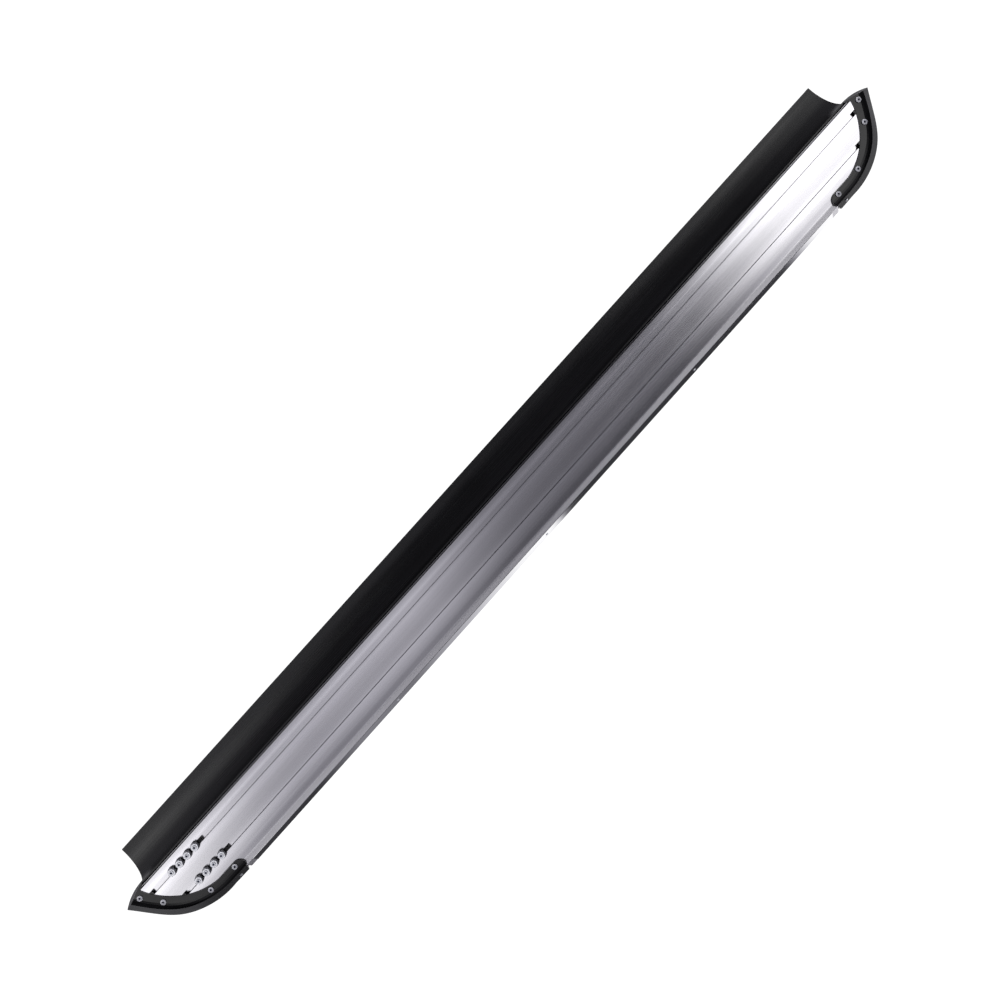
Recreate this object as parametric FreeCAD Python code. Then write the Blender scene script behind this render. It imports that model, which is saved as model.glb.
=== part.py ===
# Running board for an SUV: aluminium extrusion with two T-slots, end caps, inner apron and slot hardware.
# Millimetres. X runs along the board, Y outboard, Z up. The origin is the middle of the inner T-slot, in the
# plane of the underside.
import FreeCAD
import Part
import math
import os

V = FreeCAD.Vector

# How far a cut runs past the surface it opens, and how far joined shapes reach into each other.
overrun = 1.0
overlap = 0.5

# Extrusion
deck_z = 30.0
skin = 2.5
deck_skin = 4.0
inner_wall_y = -20.4
nose_edge_y = 95.6
nose_max_y = 105.5
nose_max_z = 20.0
nose_top_y = 99.6
nose_top_bulge = (0.4, 5.5)
nose_chamber_back = (2.0, 3.3, 5.5)
chamber_floor_z = 3.0
outline_reach = 5.0
web_ys = (18.5, 71.0)
web_t = 2.5
lip_y = (-25.0, -22.6)
lip_z = 1.2
lip_fall = 2.2
lip_flat = 0.7
boss_y = -26.0
boss_z = (13.5, 22.5)
bead_y = -22.0
bead_z = 18.0
bead_r = 2.6
bead_gap = 0.15
leg_t = 2.4

# Underside beyond the outer slot: it sweeps up gently, runs straight, then turns into a flat outer band.
sweep_y = (54.0, 77.0, 84.0, 87.5)
sweep_angle = math.radians(5.6)
ramp_low_z = (sweep_y[1] - sweep_y[0]) * math.tan(sweep_angle / 2)
ramp_high_z = ramp_low_z + (sweep_y[2] - sweep_y[1]) * math.tan(sweep_angle)
nose_step_z = ramp_high_z + (sweep_y[3] - sweep_y[2]) * math.tan(sweep_angle / 2)

# T-slots
slot_ys = (0.0, 47.0)
slot_mouth = 8.6
slot_lip = 3.0
slot_inner_w = 13.6
slot_inner_z = 9.2
slot_block_w = 18.0
slot_block_z = 12.0

# Tread
strip_ys = (9.0, 59.0)
strip_half_x = (950.0, 872.0)
strip_w = 28.0
strip_depth = 2.0
strip_h = 3.2
strip_gap = 0.2
strip_rib_count = 4
tread_rib_ys = (-18.0, -12.5, 29.0, 34.0, 39.0, 79.5, 84.5, 89.5)
tread_rib_w = 2.0
tread_rib_h = 0.8
tread_rib_root = 0.5
tread_rib_half_x = 815.0
strip_plate_t = 2.0
strip_rib_w = 4.4

# Apron
apron_half_x = 975.0
apron_t = 2.4
apron_low = (-28.4, 1.0)
apron_mid = (-47.2, 33.6)
apron_top = (-93.0, 55.5)
apron_leg_y = -34.0
apron_mid_normal = (0.66, 0.76)
apron_top_lean = 0.5

# End caps: plan outline of the crease round the underside face and of the widest line.
# The face is flat next to its rim and rounds off towards the crease in three easy steps.
face_z = -2.5
face_steps = ((12.0, face_z), (8.0, -2.15), (4.0, -1.5))
crease_z = -0.6
wide_z = 19.0
cap_top_z = 33.2
cap_wall = 3.0
cap_end_x = 829.0
cap_foot_z = 30.1
cap_foot_overlap = 0.4
face_pts = ((1020.5, -15.5), (996.0, 25.0), (964.0, 61.0), (919.0, 85.0), (862.0, 94.2))
face_foot = (826.5, 94.6)
wide_pts = ((1039.5, -12.0), (1013.2, 29.0), (984.0, 66.2), (935.9, 95.5), (872.0, 105.6))
wide_foot = (836.0, 106.4)
top_inset = 5.0
inner_bulge = 5.2
face_bulge = 0.5
rim_inner = (989.5, -19.2)
ear_inner = (976.5, -26.8)
ear_outer = (976.5, -28.6)
rail_end_x = (988.5, 984.0)
rail_step_z = 13.2
rail_pocket_y = (-25.6, -26.4)
rim_mid = (960.0, 31.0)
rim_mid_2 = (930.0, 56.0)
rim_outer = (883.0, 73.6)
rim_end = (841.0, 73.7)
rim_round = (829.2, 78.0)
rim_tip = (823.6, 89.5)
end_clearance = 1.0
end_step = 0.2
rail_clearance = 0.5
trim_area_y = (-60.0, 130.0)
trim_area_z = (-5.0, 45.0)
hollow_end_x = 780.0
hollow_inner_y = inner_wall_y - 0.3
tongue_w = 8.0
tongue_tip_x = (978.0, 941.5)
tongue_l = 24.0
tongue_z = (-1.6, 2.8)

# Cap screws
face_screws = ((1000.0, -11.0), (977.6, 25.8), (904.0, 76.1), (843.6, 80.3))
screw_head_r = 5.3
screw_head_h = 3.0
screw_shank_r = 2.45
screw_shank_l = 9.0
screw_hole_top_z = 12.0
screw_hole_gap = 0.1
head_edge_share = 0.78
socket_share = 0.78
socket_sunk = 0.4
side_screw_x = 851.0
side_head_r = 3.2
side_head_h = 1.8
side_shank_r = 1.6
side_shank_l = 8.0
side_boss_r = 4.0

# Outer edge trim
trim_half_x = 812.0
trim_t = 0.8
trim_gap = 0.05
rivet_xs = (-417.0, 0.0, 417.0)
rivet_head_r = 3.0
rivet_head_h = 1.2
rivet_shank_r = 1.5
rivet_shank_l = 5.0

# Slot hardware
bolt_xs = ((-924.0, -903.3, -882.6, -861.9), (-903.3, -882.6, -861.9, -841.2))
thread_r = 4.0
shank_r = 3.95
head_af = 13.0
head_h = 5.3
head_z = slot_lip + 0.3
bolt_tip_z = -16.2
bolt_chamfer = 0.6
dimple_r = 2.2
dimple_depth = 2.4
washer_bore_r = 4.2
spacer_r = 8.2
spacer_t = 5.0
washer_r = 7.6
washer_t = 1.6
nut_af = 13.0
nut_t = 6.8
nut_bore_r = 4.05
nut_chamfer = 1.0
body_gap = 0.3
stack_gap = 0.05
stopper_xs = (-849.0, -828.3)
stopper_l = 7.0
stopper_neck_w = 8.0
stopper_body_w = 13.0
stopper_low_z = -1.4
stopper_high_z = 8.9


def box(x0, x1, y0, y1, z0, z1):
    return Part.makeBox(x1 - x0, y1 - y0, z1 - z0, V(x0, y0, z0))


def line(a, b):
    return Part.makeLine(V(*a), V(*b))


def arc(a, b, c):
    return Part.Arc(V(*a), V(*b), V(*c)).toShape()


def spline(points):
    curve = Part.BSplineCurve()
    curve.interpolate([V(*p) for p in points])
    return curve.toShape()


def section(edges, half_x):
    """A closed outline in the YZ plane at X = 0, drawn out to both sides along X."""
    face = Part.Face(Part.Wire(edges))
    face.translate(V(-half_x, 0, 0))
    return face.extrude(V(2 * half_x, 0, 0))


def yz(p):
    return (0.0, p[0], p[1])


def polygon(points):
    """Straight edges round (y, z) corners, closed."""
    edges = []
    for a, b in zip(points, points[1:] + points[:1]):
        edges.append(line(yz(a), yz(b)))
    return edges


def plan(p, z):
    return (p[0], p[1], z)


def cylinder(radius, height, base, direction):
    return Part.makeCylinder(radius, height, V(*base), V(*direction))


def hex_prism(across_flats, height, base):
    """Hexagon with two flats parallel to X, standing up from its base point."""
    corner = across_flats / math.sqrt(3.0)
    pts = []
    for k in range(7):
        angle = math.radians(60 * k)
        pts.append(V(base[0] + corner * math.cos(angle), base[1] + corner * math.sin(angle), base[2]))
    return Part.Face(Part.makePolygon(pts)).extrude(V(0, 0, height))


def mirrored(shape):
    return shape.mirror(V(0, 0, 0), V(1, 0, 0))


def save(shape, name):
    shape.exportStep("parts/" + name + ".step")


def nose_edges(offset):
    """The nose from the underside edge to the deck, moved outwards by offset."""
    run = nose_max_y - nose_edge_y
    rise = nose_max_z - nose_step_z
    length = math.hypot(run, rise)
    shift_y = offset * rise / length
    shift_z = -offset * run / length
    low = (nose_edge_y + shift_y, nose_step_z + shift_z)
    high = (nose_max_y + shift_y, nose_max_z + shift_z)
    return low, high


def arc_middle(start, radius, angle, turn):
    """Point half way along an arc that starts at start and turns by angle, up (1) or back to level (-1)."""
    half = angle / 2
    if turn > 0:
        return start[0] + radius * math.sin(half), start[1] + radius * (1 - math.cos(half))
    run = radius * (math.sin(angle) - math.sin(half))
    rise = radius * (math.cos(half) - math.cos(angle))
    return start[0] + run, start[1] + rise


def extrusion_outline():
    low, high = nose_edges(0.0)
    p0 = (sweep_y[0], 0.0)
    p1 = (sweep_y[1], ramp_low_z)
    p2 = (sweep_y[2], ramp_high_z)
    p3 = (sweep_y[3], nose_step_z)
    up_r = (sweep_y[1] - sweep_y[0]) / math.sin(sweep_angle)
    back_r = (sweep_y[3] - sweep_y[2]) / math.sin(sweep_angle)
    p01 = arc_middle(p0, up_r, sweep_angle, 1)
    p23 = arc_middle(p2, back_r, sweep_angle, -1)
    shoulder = (nose_max_y + nose_top_bulge[0], nose_max_z + nose_top_bulge[1])
    edges = [
        line(yz((inner_wall_y, 0)), yz(p0)),
        arc(yz(p0), yz(p01), yz(p1)),
        line(yz(p1), yz(p2)),
        arc(yz(p2), yz(p23), yz(p3)),
        line(yz(p3), yz(low)),
        line(yz(low), yz(high)),
        arc(yz(high), yz(shoulder), yz((nose_top_y, deck_z))),
        line(yz((nose_top_y, deck_z)), yz((boss_y, deck_z))),
        line(yz((boss_y, deck_z)), yz((boss_y, deck_z - skin))),
        line(yz((boss_y, deck_z - skin)), yz((inner_wall_y, deck_z - skin))),
        line(yz((inner_wall_y, deck_z - skin)), yz((inner_wall_y, 0))),
    ]
    return edges


def lip_section(reach):
    """Lip under the apron groove. Its underside slopes up and outwards to the apron."""
    top = boss_z[0] + overlap
    points = [(lip_y[0], lip_z + lip_fall), (lip_y[1] - lip_flat, lip_z), (lip_y[1], lip_z), (lip_y[1], top),
              (lip_y[0], top)]
    return section(polygon(points), reach)


def chambers(half_x):
    """The hollow spaces inside the extrusion, one on each side of the two webs and one in the nose."""
    roof = deck_z - deck_skin
    spans = ((inner_wall_y + skin, web_ys[0]), (web_ys[0] + web_t, web_ys[1]))
    spaces = []
    for (y0, y1), slot_y in zip(spans, slot_ys):
        space = box(-half_x, half_x, y0, y1, chamber_floor_z, roof)
        block = box(-half_x, half_x, slot_y - slot_block_w / 2, slot_y + slot_block_w / 2, 0, slot_block_z)
        spaces.append(space.cut(block))
    floor = nose_step_z + skin
    web_y = web_ys[1] + web_t
    corners = [(web_y, floor), (nose_edge_y - nose_chamber_back[0], floor),
               (nose_max_y - nose_chamber_back[1], nose_max_z), (nose_max_y - nose_chamber_back[2], roof),
               (web_y, roof)]
    spaces.append(section(polygon(corners), half_x))
    return spaces


def slot_space(slot_y, half_x):
    mouth = box(-half_x, half_x, slot_y - slot_mouth / 2, slot_y + slot_mouth / 2, -overrun,
                slot_lip + overlap)
    inner = box(-half_x, half_x, slot_y - slot_inner_w / 2, slot_y + slot_inner_w / 2, slot_lip, slot_inner_z)
    return mouth.fuse(inner)


def offset_plan(points, inset):
    """Points of a plan outline moved inwards, at right angles to the outline."""
    moved = []
    for k, p in enumerate(points):
        a = points[max(k - 1, 0)]
        b = points[min(k + 1, len(points) - 1)]
        tx, ty = b[0] - a[0], b[1] - a[1]
        length = math.hypot(tx, ty)
        moved.append((p[0] - inset * ty / length, p[1] + inset * tx / length))
    return moved


def trim_plan():
    """Plan area that the extrusion may fill, so that its ends stay inside the caps."""
    curve = offset_plan(face_pts, cap_wall + end_clearance)
    inner_y, far_y = trim_area_y
    low_z, high_z = trim_area_z
    foot_x = cap_end_x - end_step
    corners = [(foot_x, curve[-1][1]), (foot_x, far_y), (0, far_y), (0, inner_y), (curve[0][0], inner_y)]
    right = [spline([plan(p, low_z) for p in curve])]
    for a, b in zip([curve[-1]] + corners, corners + [curve[0]]):
        right.append(line(plan(a, low_z), plan(b, low_z)))
    half = Part.Face(Part.Wire(right)).extrude(V(0, 0, high_z - low_z))
    return half.fuse(mirrored(half)).removeSplitter()


def make_extrusion():
    reach = face_pts[0][0] + outline_reach
    body = section(extrusion_outline(), reach)
    lip = lip_section(reach)
    boss = box(-reach, reach, boss_y, inner_wall_y + overlap, boss_z[0], boss_z[1])
    body = body.fuse([lip, boss])
    cuts = chambers(reach)
    for slot_y in slot_ys:
        cuts.append(slot_space(slot_y, reach))
    cuts.append(cylinder(bead_r + bead_gap, 2 * reach, (-reach, bead_y, bead_z), (1, 0, 0)))
    mouth = leg_t / 2 + bead_gap
    cuts.append(box(-reach, reach, boss_y - overrun, bead_y, bead_z - mouth, bead_z + mouth))
    for strip_y, half_x in zip(strip_ys, strip_half_x):
        side = strip_w / 2 + strip_gap
        cuts.append(box(-half_x - strip_gap, half_x + strip_gap, strip_y - side, strip_y + side,
                        deck_z - strip_depth, deck_z + overrun))
    for x, y in face_screws:
        for sign in (-1, 1):
            cuts.append(cylinder(screw_shank_r + screw_hole_gap, screw_hole_top_z + overrun,
                                 (sign * x, y, -overrun), (0, 0, 1)))
    for x in rivet_xs:
        cuts.append(flank_hole(x, rivet_shank_r + screw_hole_gap, rivet_shank_l))
    body = body.cut(cuts)
    ribs = []
    for y in tread_rib_ys:
        ribs.append(box(-tread_rib_half_x, tread_rib_half_x, y - tread_rib_w / 2, y + tread_rib_w / 2,
                        deck_z - tread_rib_root, deck_z + tread_rib_h))
    body = body.fuse(ribs).common(trim_plan())
    end_cuts = []
    for end_x, z0, z1 in ((rail_end_x[0], -overrun, rail_step_z),
                          (rail_end_x[1], rail_step_z, deck_z + overrun)):
        rest = box(end_x, reach + overrun, boss_y - overrun, inner_wall_y, z0, z1)
        end_cuts += [rest, mirrored(rest)]
    corner = inner_side_guard(cap_wall + end_clearance)
    end_cuts += [corner, mirrored(corner)]
    return body.cut(end_cuts).removeSplitter()


def inner_side_guard(depth):
    """Everything nearer than depth to a cap's inner side, beyond the rail's end."""
    tip = face_pts[0]
    run = tip[0] - ear_outer[0]
    rise = tip[1] - ear_outer[1]
    length = math.hypot(run, rise)
    slope = rise / run
    start_x = rim_inner[0] + overlap
    end_x = wide_pts[0][0] + overrun
    lift = depth * length / run
    start_y = ear_outer[1] + slope * (start_x - ear_outer[0]) + lift
    end_y = ear_outer[1] + slope * (end_x - ear_outer[0]) + lift
    low_y = ear_outer[1] - inner_bulge - overrun
    pts = [(start_x, start_y), (end_x, end_y), (end_x, low_y), (start_x, low_y), (start_x, start_y)]
    outline = Part.makePolygon([V(x, y, -overrun) for x, y in pts])
    return Part.Face(outline).extrude(V(0, 0, cap_top_z + 2 * overrun))


def flank_frame(offset):
    """Middle of the sloping flank and its outward normal, as (y, z) pairs."""
    low, high = nose_edges(offset)
    mid = ((low[0] + high[0]) / 2, (low[1] + high[1]) / 2)
    run = high[0] - low[0]
    rise = high[1] - low[1]
    length = math.hypot(run, rise)
    return mid, (rise / length, -run / length)


def flank_hole(x, radius, depth):
    mid, normal = flank_frame(0.0)
    lift = 2 * overrun
    base = (x, mid[0] + lift * normal[0], mid[1] + lift * normal[1])
    return cylinder(radius, depth + lift, base, (0, -normal[0], -normal[1]))


def make_trim():
    inner_low, inner_high = nose_edges(trim_gap)
    outer_low, outer_high = nose_edges(trim_gap + trim_t)
    trim = section(polygon([inner_low, outer_low, outer_high, inner_high]), trim_half_x)
    holes = [flank_hole(x, rivet_shank_r + screw_hole_gap, rivet_shank_l) for x in rivet_xs]
    return trim.cut(holes)


def make_rivets():
    mid, normal = flank_frame(trim_gap + trim_t + trim_gap)
    rivets = []
    for x in rivet_xs:
        shank = Part.makeCylinder(rivet_shank_r, rivet_shank_l + overlap, V(0, 0, -rivet_shank_l))
        rivet = domed_head(rivet_head_r, rivet_head_h).fuse(shank)
        rivets.append(on_flank(rivet, x, mid, normal))
    return Part.makeCompound(rivets)


def make_apron():
    low = apron_low
    low_in = (low[0] + apron_t, low[1])
    mid_in = (apron_mid[0] + apron_t * apron_mid_normal[0], apron_mid[1] + apron_t * apron_mid_normal[1])
    top_in = (apron_top[0] - apron_top_lean, apron_top[1] + apron_t)
    edges = [
        arc(yz(low), yz(apron_mid), yz(apron_top)),
        line(yz(apron_top), yz(top_in)),
        arc(yz(top_in), yz(mid_in), yz(low_in)),
        line(yz(low_in), yz(low)),
    ]
    sheet = section(edges, apron_half_x)
    leg = box(-apron_half_x, apron_half_x, apron_leg_y, bead_y, bead_z - leg_t / 2, bead_z + leg_t / 2)
    bead = cylinder(bead_r, 2 * apron_half_x, (-apron_half_x, bead_y, bead_z), (1, 0, 0))
    return sheet.fuse([leg, bead]).removeSplitter()


def cap_wire(points, foot, z, bulge):
    """Closed plan outline of a cap at one height: outer curve, foot, rim and inner side."""
    tip = points[0]
    inner_mid = ((tip[0] + ear_outer[0]) / 2, (tip[1] + ear_outer[1]) / 2 - bulge)
    edges = [
        spline([plan(p, z) for p in points]),
        line(plan(points[-1], z), plan(foot, z)),
        line(plan(foot, z), plan(rim_tip, z)),
        arc(plan(rim_tip, z), plan(rim_round, z), plan(rim_end, z)),
        line(plan(rim_end, z), plan(rim_outer, z)),
        spline([plan(p, z) for p in (rim_outer, rim_mid_2, rim_mid, rim_inner)]),
        line(plan(rim_inner, z), plan(ear_inner, z)),
        line(plan(ear_inner, z), plan(ear_outer, z)),
        arc(plan(ear_outer, z), plan(inner_mid, z), plan(tip, z)),
    ]
    return Part.Wire(edges)


def face_step(inset):
    """The crease line moved in across the face. Its tip stays on the face's inner edge."""
    points = offset_plan(face_pts, inset)
    tip = face_pts[0]
    slope = (tip[1] - ear_outer[1]) / (tip[0] - ear_outer[0])
    run = points[1][0] - points[0][0]
    rise = points[1][1] - points[0][1]
    level = ear_outer[1] + slope * (points[0][0] - ear_outer[0])
    share = (level - points[0][1]) / (rise - slope * run)
    points[0] = (points[0][0] + share * run, points[0][1] + share * rise)
    return points, (face_foot[0], face_foot[1] - inset)


def hollow_wire(points, z):
    """Closed plan outline of a cap's hollow at one height. It runs past the rim, which stays open."""
    tip = points[0]
    edges = [
        spline([plan(p, z) for p in points]),
        line(plan(points[-1], z), (hollow_end_x, points[-1][1], z)),
        line((hollow_end_x, points[-1][1], z), (hollow_end_x, hollow_inner_y, z)),
        line((hollow_end_x, hollow_inner_y, z), (tip[0] - end_clearance, hollow_inner_y, z)),
        line((tip[0] - end_clearance, hollow_inner_y, z), plan(tip, z)),
    ]
    return Part.Wire(edges)


def between(a, b, x):
    """Height in Y of the line from a to b at x."""
    return a[1] + (b[1] - a[1]) * (x - a[0]) / (b[0] - a[0])


def cap_flank():
    """Middle of a cap's flank at the side screw and its outward normal, as (y, z) pairs."""
    low_y = between(face_pts[-1], face_foot, side_screw_x)
    high_y = between(wide_pts[-1], wide_foot, side_screw_x)
    run = high_y - low_y
    rise = wide_z - crease_z
    length = math.hypot(run, rise)
    mid = ((low_y + high_y) / 2, (wide_z + crease_z) / 2)
    return mid, (rise / length, -run / length)


def flank_cylinder(radius, start, end):
    """A cylinder square to the cap's flank. start and end are measured outwards from the flank."""
    mid, normal = cap_flank()
    base = (side_screw_x, mid[0] + start * normal[0], mid[1] + start * normal[1])
    return cylinder(radius, end - start, base, (0, normal[0], normal[1]))


def make_cap():
    top_pts = offset_plan(wide_pts, top_inset)
    top_foot = (wide_foot[0], wide_foot[1] - top_inset)
    face_in = offset_plan(face_pts, cap_wall)
    wide_in = offset_plan(wide_pts, cap_wall)
    top_in = offset_plan(wide_pts, top_inset + cap_wall)
    outlines = []
    for inset, z in face_steps:
        points, foot = face_step(inset)
        outlines.append(cap_wire(points, foot, z, face_bulge))
    outlines.append(cap_wire(face_pts, face_foot, crease_z, face_bulge))
    outlines.append(cap_wire(wide_pts, wide_foot, wide_z, inner_bulge))
    outlines.append(cap_wire(top_pts, top_foot, cap_top_z, inner_bulge * 0.4))
    body = Part.makeLoft(outlines, True, True)
    hollow = Part.makeLoft([hollow_wire(face_in, -stack_gap), hollow_wire(wide_in, wide_z),
                            hollow_wire(top_in, deck_z + stack_gap)], True, True)
    body = body.cut(hollow.cut(inner_side_guard(cap_wall)))
    extras = [flank_cylinder(side_boss_r, -side_shank_l, -cap_wall + overlap)]
    for slot_y, tip_x in zip(slot_ys, tongue_tip_x):
        tongue = box(tip_x, tip_x + tongue_l, slot_y - tongue_w / 2, slot_y + tongue_w / 2,
                     tongue_z[0], tongue_z[1])
        extras.append(tongue)
    body = body.fuse(extras)
    cuts = [box(hollow_end_x, cap_end_x + cap_foot_overlap, web_ys[1], wide_foot[1] + overrun, -stack_gap,
                cap_foot_z)]
    for end_x, pocket_y, z0, z1 in ((rail_end_x[0], rail_pocket_y[0], -stack_gap, rail_step_z),
                                    (rail_end_x[1], rail_pocket_y[1], rail_step_z, deck_z + stack_gap)):
        cuts.append(box(hollow_end_x, end_x + rail_clearance, pocket_y, rim_inner[1] + overrun, z0, z1))
    cuts.append(flank_cylinder(side_shank_r + screw_hole_gap, -side_shank_l - overrun, 2 * overrun))
    for x, y in face_screws:
        cuts.append(cylinder(screw_shank_r + screw_hole_gap, screw_hole_top_z, (x, y, face_z - overrun),
                             (0, 0, 1)))
    return body.cut(cuts).removeSplitter()


def domed_head(radius, height):
    """A low dome standing on Z = 0."""
    ball_r = (radius * radius + height * height) / (2 * height)
    ball = Part.makeSphere(ball_r, V(0, 0, height - ball_r))
    return ball.common(Part.makeCylinder(radius, height))


def screw(head_r, head_h, shank_r, shank_l):
    """Button-head screw with a hex socket. Its head stands on Z = 0 and its shank hangs below."""
    edge_h = head_h * head_edge_share
    pan = Part.makeCylinder(head_r, edge_h)
    dome = domed_head(head_r, head_h - edge_h)
    dome.translate(V(0, 0, edge_h))
    shank = Part.makeCylinder(shank_r, shank_l + overlap, V(0, 0, -shank_l))
    socket_af = head_r * socket_share
    socket = hex_prism(socket_af, head_h + socket_sunk, (0, 0, -socket_sunk))
    return pan.fuse([dome, shank]).removeSplitter().cut(socket)


def make_face_screws():
    screws = []
    for x, y in face_screws:
        one = screw(screw_head_r, screw_head_h, screw_shank_r, screw_shank_l)
        one.rotate(V(0, 0, 0), V(1, 0, 0), 180)
        one.translate(V(x, y, face_z - stack_gap))
        screws.append(one)
    return Part.makeCompound(screws)


def on_flank(shape, x, mid, normal):
    """Turn a shape that stands on Z = 0 so that it stands on a sloping flank."""
    shape.rotate(V(0, 0, 0), V(1, 0, 0), -math.degrees(math.atan2(normal[0], normal[1])))
    shape.translate(V(x, mid[0], mid[1]))
    return shape


def make_side_screw():
    mid, normal = cap_flank()
    lifted = (mid[0] + stack_gap * normal[0], mid[1] + stack_gap * normal[1])
    one = screw(side_head_r, side_head_h, side_shank_r, side_shank_l)
    return on_flank(one, side_screw_x, lifted, normal)


def make_strip(strip_y, half_x):
    low = deck_z - strip_depth + stack_gap
    side = strip_w / 2
    strip = box(-half_x, half_x, strip_y - side, strip_y + side, low, low + strip_plate_t)
    rib_pitch = strip_w / strip_rib_count
    ribs = []
    for k in range(strip_rib_count):
        y = strip_y - side + rib_pitch * (k + 0.5)
        ribs.append(box(-half_x, half_x, y - strip_rib_w / 2, y + strip_rib_w / 2, low, low + strip_h))
    return strip.fuse(ribs).removeSplitter()


def make_bolt(x, y):
    """Hex-head bolt with its head in the slot. The threaded end below the nut is a little thicker and
    has a small round hole in its tip."""
    free_z = -body_gap - spacer_t - washer_t - nut_t - 3 * stack_gap
    head = hex_prism(head_af, head_h, (x, y, head_z))
    shank = cylinder(shank_r, head_z + overlap - free_z, (x, y, free_z), (0, 0, 1))
    thread_z = bolt_tip_z + bolt_chamfer
    thread = cylinder(thread_r, free_z - thread_z, (x, y, thread_z), (0, 0, 1))
    point = Part.makeCone(thread_r - bolt_chamfer, thread_r, bolt_chamfer, V(x, y, bolt_tip_z), V(0, 0, 1))
    dimple = cylinder(dimple_r, dimple_depth, (x, y, bolt_tip_z), (0, 0, 1))
    return head.fuse([shank, thread, point]).cut(dimple)


def ring(outer_r, bore_r, top_z, thickness, x, y):
    body = cylinder(outer_r, thickness, (x, y, top_z - thickness), (0, 0, 1))
    bore = cylinder(bore_r, thickness + 2 * overrun, (x, y, top_z - thickness - overrun), (0, 0, 1))
    return body.cut(bore)


def make_nut(x, y, top_z):
    blank = hex_prism(nut_af, nut_t, (x, y, top_z - nut_t))
    corner = nut_af / math.sqrt(3.0)
    cone_h = nut_t + nut_chamfer
    chamfer = Part.makeCone(corner - nut_chamfer, corner - nut_chamfer + cone_h, cone_h,
                            V(x, y, top_z - nut_t), V(0, 0, 1))
    bore = cylinder(nut_bore_r, nut_t + 2 * overrun, (x, y, top_z - nut_t - overrun), (0, 0, 1))
    return blank.common(chamfer).cut(bore)


def make_stopper(x, y):
    neck = box(x - stopper_l / 2, x + stopper_l / 2, y - stopper_neck_w / 2, y + stopper_neck_w / 2,
               stopper_low_z, slot_lip + overrun)
    body = box(x - stopper_l / 2, x + stopper_l / 2, y - stopper_body_w / 2, y + stopper_body_w / 2,
               slot_lip + body_gap, stopper_high_z)
    return neck.fuse(body).removeSplitter()


def save_slot_hardware():
    for row, (slot_y, xs) in enumerate(zip(slot_ys, bolt_xs), 1):
        for k, x in enumerate(xs, 1):
            tag = "_%d_%d" % (row, k)
            spacer_z = -body_gap
            washer_z = spacer_z - spacer_t - stack_gap
            nut_z = washer_z - washer_t - stack_gap
            save(make_bolt(x, slot_y), "t_bolt" + tag)
            save(ring(spacer_r, washer_bore_r, spacer_z, spacer_t, x, slot_y), "spacer" + tag)
            save(ring(washer_r, washer_bore_r, washer_z, washer_t, x, slot_y), "washer" + tag)
            save(make_nut(x, slot_y, nut_z), "nut" + tag)
        save(make_stopper(stopper_xs[row - 1], slot_y), "slot_stopper_%d" % row)


os.makedirs("parts", exist_ok=True)
save(make_extrusion(), "board_extrusion")
save(make_apron(), "inner_apron")
save(make_trim(), "outer_edge_trim")
save(make_rivets(), "trim_rivets")
cap = make_cap()
save(cap, "end_cap_front")
save(mirrored(cap), "end_cap_rear")
save(make_face_screws(), "cap_screws_front")
save(mirrored(make_face_screws()), "cap_screws_rear")
save(make_side_screw(), "cap_side_screw_front")
save(mirrored(make_side_screw()), "cap_side_screw_rear")
save(make_strip(strip_ys[0], strip_half_x[0]), "tread_strip_inner")
save(make_strip(strip_ys[1], strip_half_x[1]), "tread_strip_outer")
save_slot_hardware()
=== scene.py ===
import math
import bpy
from mathutils import Vector, Matrix


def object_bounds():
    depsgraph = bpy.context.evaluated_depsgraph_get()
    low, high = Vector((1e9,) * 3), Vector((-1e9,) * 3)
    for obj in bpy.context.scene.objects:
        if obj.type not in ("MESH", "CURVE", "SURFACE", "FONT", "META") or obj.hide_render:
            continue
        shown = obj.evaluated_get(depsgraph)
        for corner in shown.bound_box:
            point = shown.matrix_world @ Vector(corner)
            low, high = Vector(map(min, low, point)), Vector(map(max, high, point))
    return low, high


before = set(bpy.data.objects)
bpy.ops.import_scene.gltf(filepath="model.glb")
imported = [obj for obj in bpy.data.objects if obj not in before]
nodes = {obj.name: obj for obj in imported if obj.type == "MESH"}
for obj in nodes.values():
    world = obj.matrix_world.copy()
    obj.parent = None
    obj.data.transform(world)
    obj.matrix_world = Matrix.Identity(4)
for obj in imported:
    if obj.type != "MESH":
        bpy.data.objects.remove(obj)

scene = bpy.context.scene
cad_low, cad_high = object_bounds()


# ---------------------------------------------------------------- camera

# Places in metres, in the CAD's frame; the camera is rolled about its own line of sight.
CAMERA_PLACE = Vector((-0.0828, -0.1972, -2.4138))
CAMERA_AIM = Vector((-0.0121, -0.0083, 0.0))
CAMERA_ROLL = math.radians(48.03)
LENS_MM = 46.8
SENSOR_MM = 36.0
CLIP_NEAR = 0.05
CLIP_FAR = 60.0


def look_from_below():
    """Camera almost straight under the board, looking up at its underside."""
    ahead = (CAMERA_AIM - CAMERA_PLACE).normalized()
    along = Vector((1, 0, 0))
    along = (along - along.dot(ahead) * ahead).normalized()
    across = (-ahead).cross(along)
    right = math.cos(CAMERA_ROLL) * along - math.sin(CAMERA_ROLL) * across
    up = math.sin(CAMERA_ROLL) * along + math.cos(CAMERA_ROLL) * across
    data = bpy.data.cameras.new("camera")
    data.lens = LENS_MM
    data.sensor_width = SENSOR_MM
    data.clip_start = CLIP_NEAR
    data.clip_end = CLIP_FAR
    camera = bpy.data.objects.new("camera", data)
    scene.collection.objects.link(camera)
    turned = Matrix((right, up, -ahead)).transposed().to_4x4()
    camera.matrix_world = Matrix.Translation(CAMERA_PLACE) @ turned
    scene.camera = camera


# ---------------------------------------------------------------- node helpers

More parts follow.
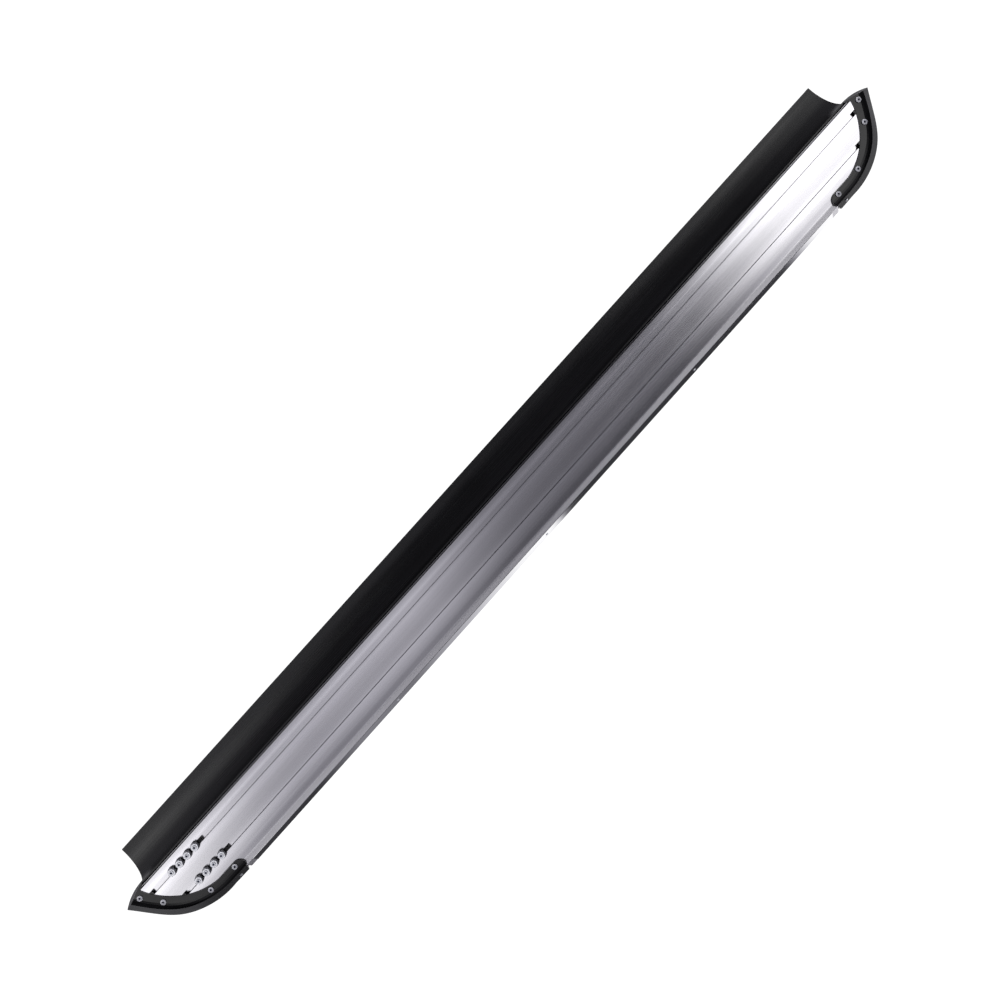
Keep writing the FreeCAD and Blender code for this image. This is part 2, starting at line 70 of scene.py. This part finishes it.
class Shader:
    """A material's node tree with short ways to add and join nodes."""

    def __init__(self, name, colour, metallic, roughness, **more):
        self.material = bpy.data.materials.new(name)
        self.material.use_nodes = True
        self.tree = self.material.node_tree
        self.tree.nodes.clear()
        self.out = self.tree.nodes.new("ShaderNodeOutputMaterial")
        self.body = self.tree.nodes.new("ShaderNodeBsdfPrincipled")
        self.body.inputs["Base Color"].default_value = (*colour, 1)
        self.body.inputs["Metallic"].default_value = metallic
        self.body.inputs["Roughness"].default_value = roughness
        for key, value in more.items():
            self.body.inputs[key].default_value = value
        self.join(self.body.outputs[0], self.out.inputs[0])
        self.place = self.tree.nodes.new("ShaderNodeTexCoord").outputs["Object"]
        self.bumps = None

    def join(self, a, b):
        self.tree.links.new(a, b)

    def scaled(self, scale):
        node = self.tree.nodes.new("ShaderNodeMapping")
        node.inputs["Scale"].default_value = scale
        self.join(self.place, node.inputs["Vector"])
        return node.outputs[0]

    def noise(self, scale, detail=3.0, rough=0.5):
        """Noise with this many features to the metre along X, Y and Z."""
        node = self.tree.nodes.new("ShaderNodeTexNoise")
        node.inputs["Scale"].default_value = 1.0
        node.inputs["Detail"].default_value = detail
        node.inputs["Roughness"].default_value = rough
        self.join(self.scaled(scale), node.inputs["Vector"])
        return node.outputs["Fac"]

    def cells(self, scale):
        """Distance to the nearest of scattered crystals, this many to the metre along X, Y and Z."""
        node = self.tree.nodes.new("ShaderNodeTexVoronoi")
        node.inputs["Scale"].default_value = 1.0
        self.join(self.scaled(scale), node.inputs["Vector"])
        return node.outputs["Distance"]

    def spread(self, value, low, high, to_low, to_high):
        """Carries low...high over to to_low...to_high."""
        node = self.tree.nodes.new("ShaderNodeMapRange")
        for k, v in zip(("From Min", "From Max", "To Min", "To Max"), (low, high, to_low, to_high)):
            node.inputs[k].default_value = v
        self.join(value, node.inputs["Value"])
        return node.outputs["Result"]

    def sway(self, noise, to_low, to_high):
        """Carries the usual range of a noise over to to_low...to_high."""
        return self.spread(noise, 0.3, 0.7, to_low, to_high)

    def step(self, value, low, high):
        """0 below low and 1 above high."""
        return self.spread(value, low, high, 0.0, 1.0)

    def axis(self, which):
        node = self.tree.nodes.new("ShaderNodeSeparateXYZ")
        self.join(self.place, node.inputs[0])
        return node.outputs[which]

    def nooks(self, reach):
        """0 in a recess, 1 on open faces."""
        node = self.tree.nodes.new("ShaderNodeAmbientOcclusion")
        node.samples = 8
        node.inputs["Distance"].default_value = reach
        return self.step(node.outputs["AO"], 0.35, 0.85)

    def maths(self, how, a, b):
        node = self.tree.nodes.new("ShaderNodeMath")
        node.operation = how
        for k, v in enumerate((a, b)):
            if isinstance(v, (int, float)):
                node.inputs[k].default_value = v
            else:
                self.join(v, node.inputs[k])
        return node.outputs[0]

    def colours(self, value, *stops):
        """Colours along a value from 0 to 1: stops are (place, colour)."""
        node = self.tree.nodes.new("ShaderNodeValToRGB")
        ramp = node.color_ramp
        while len(ramp.elements) < len(stops):
            ramp.elements.new(0.5)
        for element, (place, colour) in zip(ramp.elements, stops):
            element.position = place
            element.color = (*colour, 1)
        self.join(value, node.inputs[0])
        return node.outputs[0]

    def mottle(self, noise, one, other):
        """Two colours that drift into each other with a noise."""
        return self.colours(noise, (0.3, one), (0.7, other))

    def blend(self, factor, a, b, how="MIX"):
        node = self.tree.nodes.new("ShaderNodeMix")
        node.data_type = "RGBA"
        node.blend_type = how
        for socket, v in ((node.inputs[0], factor), (node.inputs[6], a), (node.inputs[7], b)):
            if isinstance(v, (int, float)):
                socket.default_value = v
            elif isinstance(v, tuple):
                socket.default_value = (*v, 1)
            else:
                self.join(v, socket)
        return node.outputs[2]

    def darken(self, a, b):
        return self.blend(1.0, a, b, "MULTIPLY")

    def colour(self, value):
        self.join(value, self.body.inputs["Base Color"])

    def roughness(self, *parts):
        """Roughness as the sum of its parts."""
        total = parts[0]
        for part in parts[1:]:
            total = self.maths("ADD", total, part)
        self.join(total, self.body.inputs["Roughness"])

    def bump(self, height, depth):
        node = self.tree.nodes.new("ShaderNodeBump")
        node.inputs["Strength"].default_value = 1.0
        node.inputs["Distance"].default_value = depth
        self.join(height, node.inputs["Height"])
        if self.bumps is not None:
            self.join(self.bumps, node.inputs["Normal"])
        self.bumps = node.outputs[0]
        self.join(self.bumps, self.body.inputs["Normal"])


def even(number):
    """The same scale along X, Y and Z."""
    return (number, number, number)


# ---------------------------------------------------------------- materials

# Long soft bands of painted highlight and shade across the extrusion: distance outboard in metres, and how
# light the skin is there.
PAINTED_LIGHT_BANDS = ((-0.021, 0.68), (-0.016, 0.74), (-0.009, 0.93), (-0.004, 0.76), (0.004, 0.76), (0.009, 0.84),
         (0.022, 0.68), (0.036, 0.61), (0.044, 0.64), (0.052, 0.79), (0.059, 0.74), (0.068, 0.65),
         (0.076, 0.69), (0.084, 0.70), (0.089, 0.74), (0.096, 0.78))

# The rail that holds the apron, grey with painted shade: height in metres, and how light it is there. Its
# groove is the dark stretch, painted shade.
RAIL_PAINTED_SHADE = ((0.0, 0.36), (0.004, 0.33), (0.008, 0.07), (0.0136, 0.05), (0.0150, 0.34), (0.0260, 0.40),
        (0.0290, 0.66))
RAIL_TOP = 0.031

# Where one finish changes to another, in metres: outboard for the skin, and upward for the rest. The rail's
# painted shade ends at RAIL_TO_SKIN, and the zinc pieces take painted shade above NUT_FACE, BOLT_END and
# SCREW_HEAD.
RAIL_TO_SKIN = (-0.0205, -0.0203)
SKIN_TO_DULL = (0.084, 0.088)
CAP_FACE_TO_SIDE = (-0.0007, -0.0005)
NUT_FACE = -0.0130
BOLT_END = -0.0151
SCREW_HEAD = -0.0046
SPLIT_HALF = 0.0003

# Relief in metres.
HAIRLINE = 0.00001
FINE_SKIN = 0.00002
DRAW_LINE = 0.00004
CAP_GRAIN = 0.00006
RUBBER_GRAIN = 0.00008

NOOK_REACH = 0.0012
# Tones of painted shade: blue-grey for recesses and the upper parts of bolts and screws, grey for the sides
# of nuts.
PAINTED_SHADE_BLUE = ((0.05, 0.055, 0.085), (0.10, 0.11, 0.16))
PAINTED_SHADE_GREY = ((0.10, 0.10, 0.12), (0.24, 0.24, 0.26))


def drawn_aluminium():
    """Clear anodised extrusion: fine draw lines along X over slow bands of painted highlight and shade, and
    a duller outer band.

    The rail that holds the apron is greyer with painted shade, and painted shade makes it dark inside its
    groove.
    """
    s = Shader("drawn_aluminium", (0.70, 0.70, 0.74), 1.0, 0.16)
    low, high = PAINTED_LIGHT_BANDS[0][0], PAINTED_LIGHT_BANDS[-1][0]
    lines = s.noise((1.5, 900, 900), 3.0, 0.6)
    wisps = s.noise((0.8, 70, 70), 3.0, 0.55)
    haze = s.noise((6, 9, 9), 4.0, 0.6)
    stops = tuple(((y - low) / (high - low), (v * 0.97, v * 0.96, v)) for y, v in PAINTED_LIGHT_BANDS)
    # Painted highlight and shade: the skin is lighter or darker in bands across the width.
    painted_light = s.colours(s.step(s.axis("Y"), low, high), *stops)
    soft = s.mottle(wisps, even(0.92), even(1.0))
    streaks = s.colours(lines, (0.25, even(0.93)), (0.75, even(1.0)))
    skin = s.darken(s.darken(painted_light, soft), streaks)
    # Painted shade: the rail is greyed, and dark inside its groove.
    rail_shade_stops = tuple((z / RAIL_TOP, (v, v, v * 1.05)) for z, v in RAIL_PAINTED_SHADE)
    rail_shade = s.colours(s.step(s.axis("Z"), 0.0, RAIL_TOP), *rail_shade_stops)
    s.colour(s.blend(s.step(s.axis("Y"), *RAIL_TO_SKIN), rail_shade, skin))
    dull = s.spread(s.axis("Y"), *SKIN_TO_DULL, 0.0, 0.22)
    s.roughness(s.sway(lines, 0.13, 0.19), s.sway(haze, -0.02, 0.02), dull)
    s.bump(lines, HAIRLINE)
    return s.material


def apron_plastic():
    """Satin black sheet: faint draw lines and a very fine skin."""
    s = Shader("apron_plastic", (0.006, 0.006, 0.008), 0.0, 0.26, IOR=1.5)
    lines = s.noise((2, 260, 260), 3.0, 0.6)
    cloud = s.noise((7, 12, 12), 4.0, 0.6)
    skin = s.noise(even(2600), 2.0, 0.5)
    s.colour(s.mottle(cloud, (0.005, 0.005, 0.006), (0.008, 0.008, 0.010)))
    s.roughness(s.sway(lines, 0.22, 0.28), s.sway(cloud, -0.02, 0.04))
    s.bump(lines, DRAW_LINE)
    s.bump(skin, FINE_SKIN)
    return s.material


def cap_plastic():
    """Moulded black plastic: spark grain on the sides, a smoother flat face with faint flow marks."""
    s = Shader("cap_plastic", (0.010, 0.010, 0.011), 0.0, 0.45, IOR=1.43)
    grain = s.noise(even(1500), 3.0, 0.6)
    cloud = s.noise(even(14), 4.0, 0.6)
    side = s.step(s.axis("Z"), *CAP_FACE_TO_SIDE)
    face_tone = s.mottle(cloud, (0.004, 0.004, 0.005), (0.007, 0.007, 0.008))
    side_tone = s.mottle(cloud, (0.008, 0.008, 0.009), (0.015, 0.015, 0.016))
    s.colour(s.blend(side, face_tone, side_tone))
    s.roughness(s.spread(side, 0.0, 1.0, 0.14, 0.50), s.sway(cloud, -0.03, 0.05))
    s.bump(s.maths("MULTIPLY", grain, s.spread(side, 0.0, 1.0, 0.15, 1.0)), CAP_GRAIN)
    return s.material


def polished_steel():
    """Polished stainless strip with fine lengthwise lines."""
    s = Shader("polished_steel", (0.60, 0.60, 0.61), 1.0, 0.16)
    lines = s.noise((3, 700, 700), 3.0, 0.6)
    cloud = s.noise((5, 20, 20), 3.0, 0.5)
    s.colour(s.mottle(cloud, (0.55, 0.55, 0.56), (0.68, 0.68, 0.69)))
    s.roughness(s.sway(lines, 0.05, 0.10))
    s.bump(lines, HAIRLINE)
    return s.material


def zinc_steel():
    """Bright zinc plate: cool sheen, crystalline tone changes, and painted shade in its recesses."""
    s = Shader("zinc_steel", (0.72, 0.74, 0.78), 0.6, 0.26)
    patches = s.cells(even(420))
    fine = s.noise(even(1800), 3.0, 0.6)
    cloud = s.noise(even(160), 3.0, 0.6)
    tone = s.mottle(cloud, (0.62, 0.65, 0.72), (0.84, 0.84, 0.85))
    crystals = s.colours(patches, (0.0, (0.6, 0.62, 0.68)), (0.8, (0.9, 0.9, 0.9)))
    plate = s.blend(0.25, tone, crystals)
    # Painted shade: recesses found by ambient occlusion turn dark blue-grey.
    s.colour(s.blend(s.nooks(NOOK_REACH), PAINTED_SHADE_BLUE[0], plate))
    s.roughness(s.sway(cloud, 0.20, 0.32), s.sway(fine, -0.03, 0.04))
    s.bump(fine, FINE_SKIN)
    return s.material


def zinc_with_painted_shade(name, split_z, shade_tones, metallic, rough=0.28):
    """Zinc plate on pieces that face down: bright below split_z, and painted shade above it."""
    s = Shader(name, (0.72, 0.74, 0.78), metallic, rough)
    fine = s.noise(even(1800), 3.0, 0.6)
    cloud = s.noise(even(240), 3.0, 0.6)
    bright = s.mottle(cloud, (0.74, 0.76, 0.82), (0.92, 0.92, 0.94))
    painted_shade = s.mottle(cloud, *shade_tones)
    # Painted shade: everything above split_z, such as the sides, is dark.
    s.colour(s.blend(s.step(s.axis("Z"), split_z - SPLIT_HALF, split_z + SPLIT_HALF), bright, painted_shade))
    s.roughness(s.sway(cloud, rough - 0.06, rough + 0.06), s.sway(fine, -0.03, 0.04))
    s.bump(fine, FINE_SKIN)
    return s.material


def rubber(name, colour, grain_size, rough):
    """Matt black rubber with a fine moulded grain and a dusty bloom."""
    s = Shader(name, colour, 0.0, rough, IOR=1.45)
    grain = s.noise(even(grain_size), 3.0, 0.6)
    bloom = s.noise(even(25), 4.0, 0.6)
    dusty = tuple(c * 1.9 for c in colour)
    s.colour(s.colours(bloom, (0.3, colour), (0.75, dusty)))
    s.roughness(s.sway(bloom, rough - 0.08, rough + 0.08), s.sway(grain, -0.04, 0.04))
    s.bump(grain, RUBBER_GRAIN)
    return s.material


def pale_floor():
    """Painted floor, slightly clouded."""
    s = Shader("pale_floor", (0.82, 0.82, 0.82), 0.0, 0.7)
    cloud = s.noise(even(0.8), 3.0, 0.5)
    s.colour(s.mottle(cloud, even(0.80), even(0.84)))
    return s.material


# ---------------------------------------------------------------- object

def dress(name, material):
    """Gives a CAD node its material."""
    node = nodes[name]
    node.data.materials.clear()
    node.data.materials.append(material)


# ---------------------------------------------------------------- studio

# Brightness of the surround by direction, as (part of the direction, level). A direction is a unit vector
# with parts dx along the board, dy outboard and dz up. Levels are parts of ROOM_STRENGTH.

# Under the board: by dx, times a share by dy.
ALONG = ((-1.0, 0.50), (-0.80, 0.45), (-0.66, 0.08), (-0.47, 0.08), (-0.425, 1.2), (-0.36, 1.2),
         (-0.29, 0.56), (-0.25, 0.32), (-0.10, 0.45), (-0.05, 0.42), (-0.015, 0.21), (0.01, 0.15),
         (0.235, 0.115), (0.265, 0.20), (0.29, 0.95), (0.33, 1.40), (0.43, 1.40), (0.47, 0.08),
         (0.74, 0.08), (0.88, 0.60))
ASIDE = ((0.17, 1.0), (0.25, 0.78), (0.32, 0.50), (0.42, 0.22), (0.52, 0.06), (0.78, 0.05), (0.95, 0.30))

# Over the board: by dx, dim between a few soft openings, times a share by dy.
ABOVE = ((-1.0, 0.45), (-0.78, 0.40), (-0.62, 0.05), (-0.22, 0.04), (-0.17, 0.22), (-0.12, 0.18),
         (-0.05, 0.50), (0.00, 0.95), (0.044, 1.1), (0.056, 0.04), (0.30, 0.04), (0.325, 1.0), (0.46, 1.0),
         (0.60, 0.10), (0.80, 0.50))
ABOVE_ASIDE = ((-0.30, 0.08), (0.15, 0.15), (0.45, 1.0))

# Far inboard, where the apron looks: by dx, times a share by dz, and never under INBOARD_LEAST.
INBOARD = ((-0.60, 0.30), (-0.50, 1.6), (-0.35, 1.9), (-0.29, 1.05), (-0.24, 0.38), (-0.17, 0.10),
           (0.0, 0.05), (0.31, 0.03), (0.36, 0.25), (0.40, 0.80), (0.45, 1.6), (0.54, 1.8), (0.66, 0.30))
INBOARD_LOW = ((-0.75, 1.0), (-0.45, 0.75), (-0.15, 0.28), (0.50, 0.11))
INBOARD_LEAST = 0.06

# The rest of the room, which the underside doesn't face, is evenly lit. OPEN_... say where that is.
OPEN_LEVEL = 0.6
OPEN_ASIDE = ((-0.74, 0.0), (-0.60, 1.0), (0.50, 1.0), (0.62, 0.0))
OPEN_ENDS = ((0.50, 0.0), (0.62, 1.0))
OPEN_OVER = ((0.05, 0.0), (0.25, 1.0))
OPEN_OUTBOARD = ((0.60, 0.0), (0.70, 1.0))
OPEN_UNDER = ((-0.10, 1.0), (0.0, 0.0))

# Straight up, a dome that is dim inboard.
DOME = ((-0.45, 0.06), (0.05, 0.8))

# Where one part gives way to the next, as (part of the direction, share): by dz, by dy and by dz.
BELOW_TO_ABOVE = ((-0.02, 0.0), (0.12, 1.0))
INBOARD_TO_MIDDLE = ((-0.65, 1.0), (-0.45, 0.0))
ROOM_TO_DOME = ((0.78, 0.0), (0.92, 1.0))

ROOM_STRENGTH = 1.5
WHITE_STRENGTH = 1.1
DIM_TINT = (0.90, 0.88, 1.0, 1)
BRIGHT_TINT = (1.0, 0.995, 1.0, 1)

SUN_FROM = Vector((0.15, 0.10, 0.98))
SUN_STRENGTH = 3.0
SUN_WIDTH = math.radians(25)

FLOOR_HALF = 9.0
FLOOR_DROP = 4.0


def surround():
    """A room that only light and reflections see, and plain white for the camera."""
    world = bpy.data.worlds.new("studio")
    scene.world = world
    world.use_nodes = True
    tree = world.node_tree
    tree.nodes.clear()
    add = tree.nodes.new
    join = tree.links.new

    def ramp(value, stops, low=-1.0, high=1.0):
        spread = add("ShaderNodeMapRange")
        spread.inputs["From Min"].default_value = low
        spread.inputs["From Max"].default_value = high
        join(value, spread.inputs["Value"])
        node = add("ShaderNodeValToRGB")
        while len(node.color_ramp.elements) < len(stops):
            node.color_ramp.elements.new(0.5)
        for element, (place, level) in zip(node.color_ramp.elements, stops):
            element.position = (place - low) / (high - low)
            element.color = (level, level, level, 1)
        join(spread.outputs[0], node.inputs[0])
        return node.outputs[0]

    def put(value, socket):
        if isinstance(value, (int, float)):
            socket.default_value = value
        else:
            join(value, socket)

    def maths(how, a, b):
        node = add("ShaderNodeMath")
        node.operation = how
        put(a, node.inputs[0])
        put(b, node.inputs[1])
        return node.outputs[0]

    def mix(factor, a, b):
        node = add("ShaderNodeMix")
        put(factor, node.inputs[0])
        put(a, node.inputs[2])
        put(b, node.inputs[3])
        return node.outputs[0]

    split = add("ShaderNodeSeparateXYZ")
    join(add("ShaderNodeTexCoord").outputs["Generated"], split.inputs[0])
    dx, dy, dz = split.outputs[0], split.outputs[1], split.outputs[2]

    below = maths("MULTIPLY", ramp(dx, ALONG), ramp(dy, ASIDE))
    above = maths("MULTIPLY", ramp(dx, ABOVE), ramp(dy, ABOVE_ASIDE))
    middle = mix(ramp(dz, BELOW_TO_ABOVE), below, above)
    inboard = maths("MULTIPLY", ramp(dx, INBOARD), ramp(dz, INBOARD_LOW))
    inboard = maths("MAXIMUM", inboard, INBOARD_LEAST)
    faced = mix(ramp(dy, INBOARD_TO_MIDDLE), middle, inboard)

    ends = maths("ABSOLUTE", dx, 0.0)
    open_above = maths("MAXIMUM", ramp(dy, OPEN_ASIDE), ramp(ends, OPEN_ENDS, 0.0))
    open_above = maths("MULTIPLY", open_above, ramp(dz, OPEN_OVER))
    open_below = maths("MULTIPLY", ramp(dy, OPEN_OUTBOARD), ramp(dz, OPEN_UNDER))
    walls = mix(maths("MAXIMUM", open_above, open_below), faced, OPEN_LEVEL)
    level = mix(ramp(dz, ROOM_TO_DOME), walls, ramp(dy, DOME))

    tint = add("ShaderNodeValToRGB")
    tint.color_ramp.elements[0].color = DIM_TINT
    tint.color_ramp.elements[1].color = BRIGHT_TINT
    join(level, tint.inputs[0])
    room = add("ShaderNodeBackground")
    join(tint.outputs[0], room.inputs["Color"])
    join(maths("MULTIPLY", level, ROOM_STRENGTH), room.inputs["Strength"])
    white = add("ShaderNodeBackground")
    white.inputs["Color"].default_value = (1, 1, 1, 1)
    white.inputs["Strength"].default_value = WHITE_STRENGTH
    both = add("ShaderNodeMixShader")
    join(add("ShaderNodeLightPath").outputs["Is Camera Ray"], both.inputs[0])
    join(room.outputs[0], both.inputs[1])
    join(white.outputs[0], both.inputs[2])
    join(both.outputs[0], add("ShaderNodeOutputWorld").inputs[0])


def overhead_light():
    """Broad soft light from over the tread."""
    data = bpy.data.lights.new("overhead", "SUN")
    data.energy = SUN_STRENGTH
    data.angle = SUN_WIDTH
    overhead = bpy.data.objects.new("overhead", data)
    overhead.rotation_euler = SUN_FROM.to_track_quat("Z", "Y").to_euler()
    scene.collection.objects.link(overhead)


def lay_floor():
    """Pale floor far under the board, kept out of its reflections and of the light on it."""
    half = FLOOR_HALF
    z = cad_low.z - FLOOR_DROP
    mesh = bpy.data.meshes.new("floor")
    mesh.from_pydata([(-half, -half, z), (half, -half, z), (half, half, z), (-half, half, z)],
                     [], [(0, 1, 2, 3)])
    floor = bpy.data.objects.new("floor", mesh)
    scene.collection.objects.link(floor)
    mesh.materials.append(pale_floor())
    floor.visible_glossy = False
    floor.visible_diffuse = False


# ---------------------------------------------------------------- build

look_from_below()

bright_zinc = zinc_steel()
finishes = (
    ("board_extrusion", drawn_aluminium()),
    ("inner_apron", apron_plastic()),
    ("end_cap", cap_plastic()),
    ("outer_edge_trim", polished_steel()),
    ("spacer", rubber("spacer_plastic", (0.010, 0.010, 0.011), 1400, 0.42)),
    ("slot_stopper", rubber("stopper_rubber", (0.012, 0.012, 0.012), 1200, 0.60)),
    ("tread_strip", rubber("tread_rubber", (0.016, 0.016, 0.016), 900, 0.70)),
    # Nuts, bolts and cap screws carry painted shade above their faces.
    ("nut", zinc_with_painted_shade("nut_zinc", NUT_FACE, PAINTED_SHADE_GREY, 1.0)),
    ("t_bolt", zinc_with_painted_shade("bolt_zinc", BOLT_END, PAINTED_SHADE_BLUE, 0.8)),
    ("cap_screws", zinc_with_painted_shade("screw_zinc", SCREW_HEAD, PAINTED_SHADE_BLUE, 0.7, 0.42)))

for name in nodes:
    dress(name, next((finish for start, finish in finishes if name.startswith(start)), bright_zinc))

surround()
overhead_light()
lay_floor()
scene.view_settings.view_transform = "Standard"
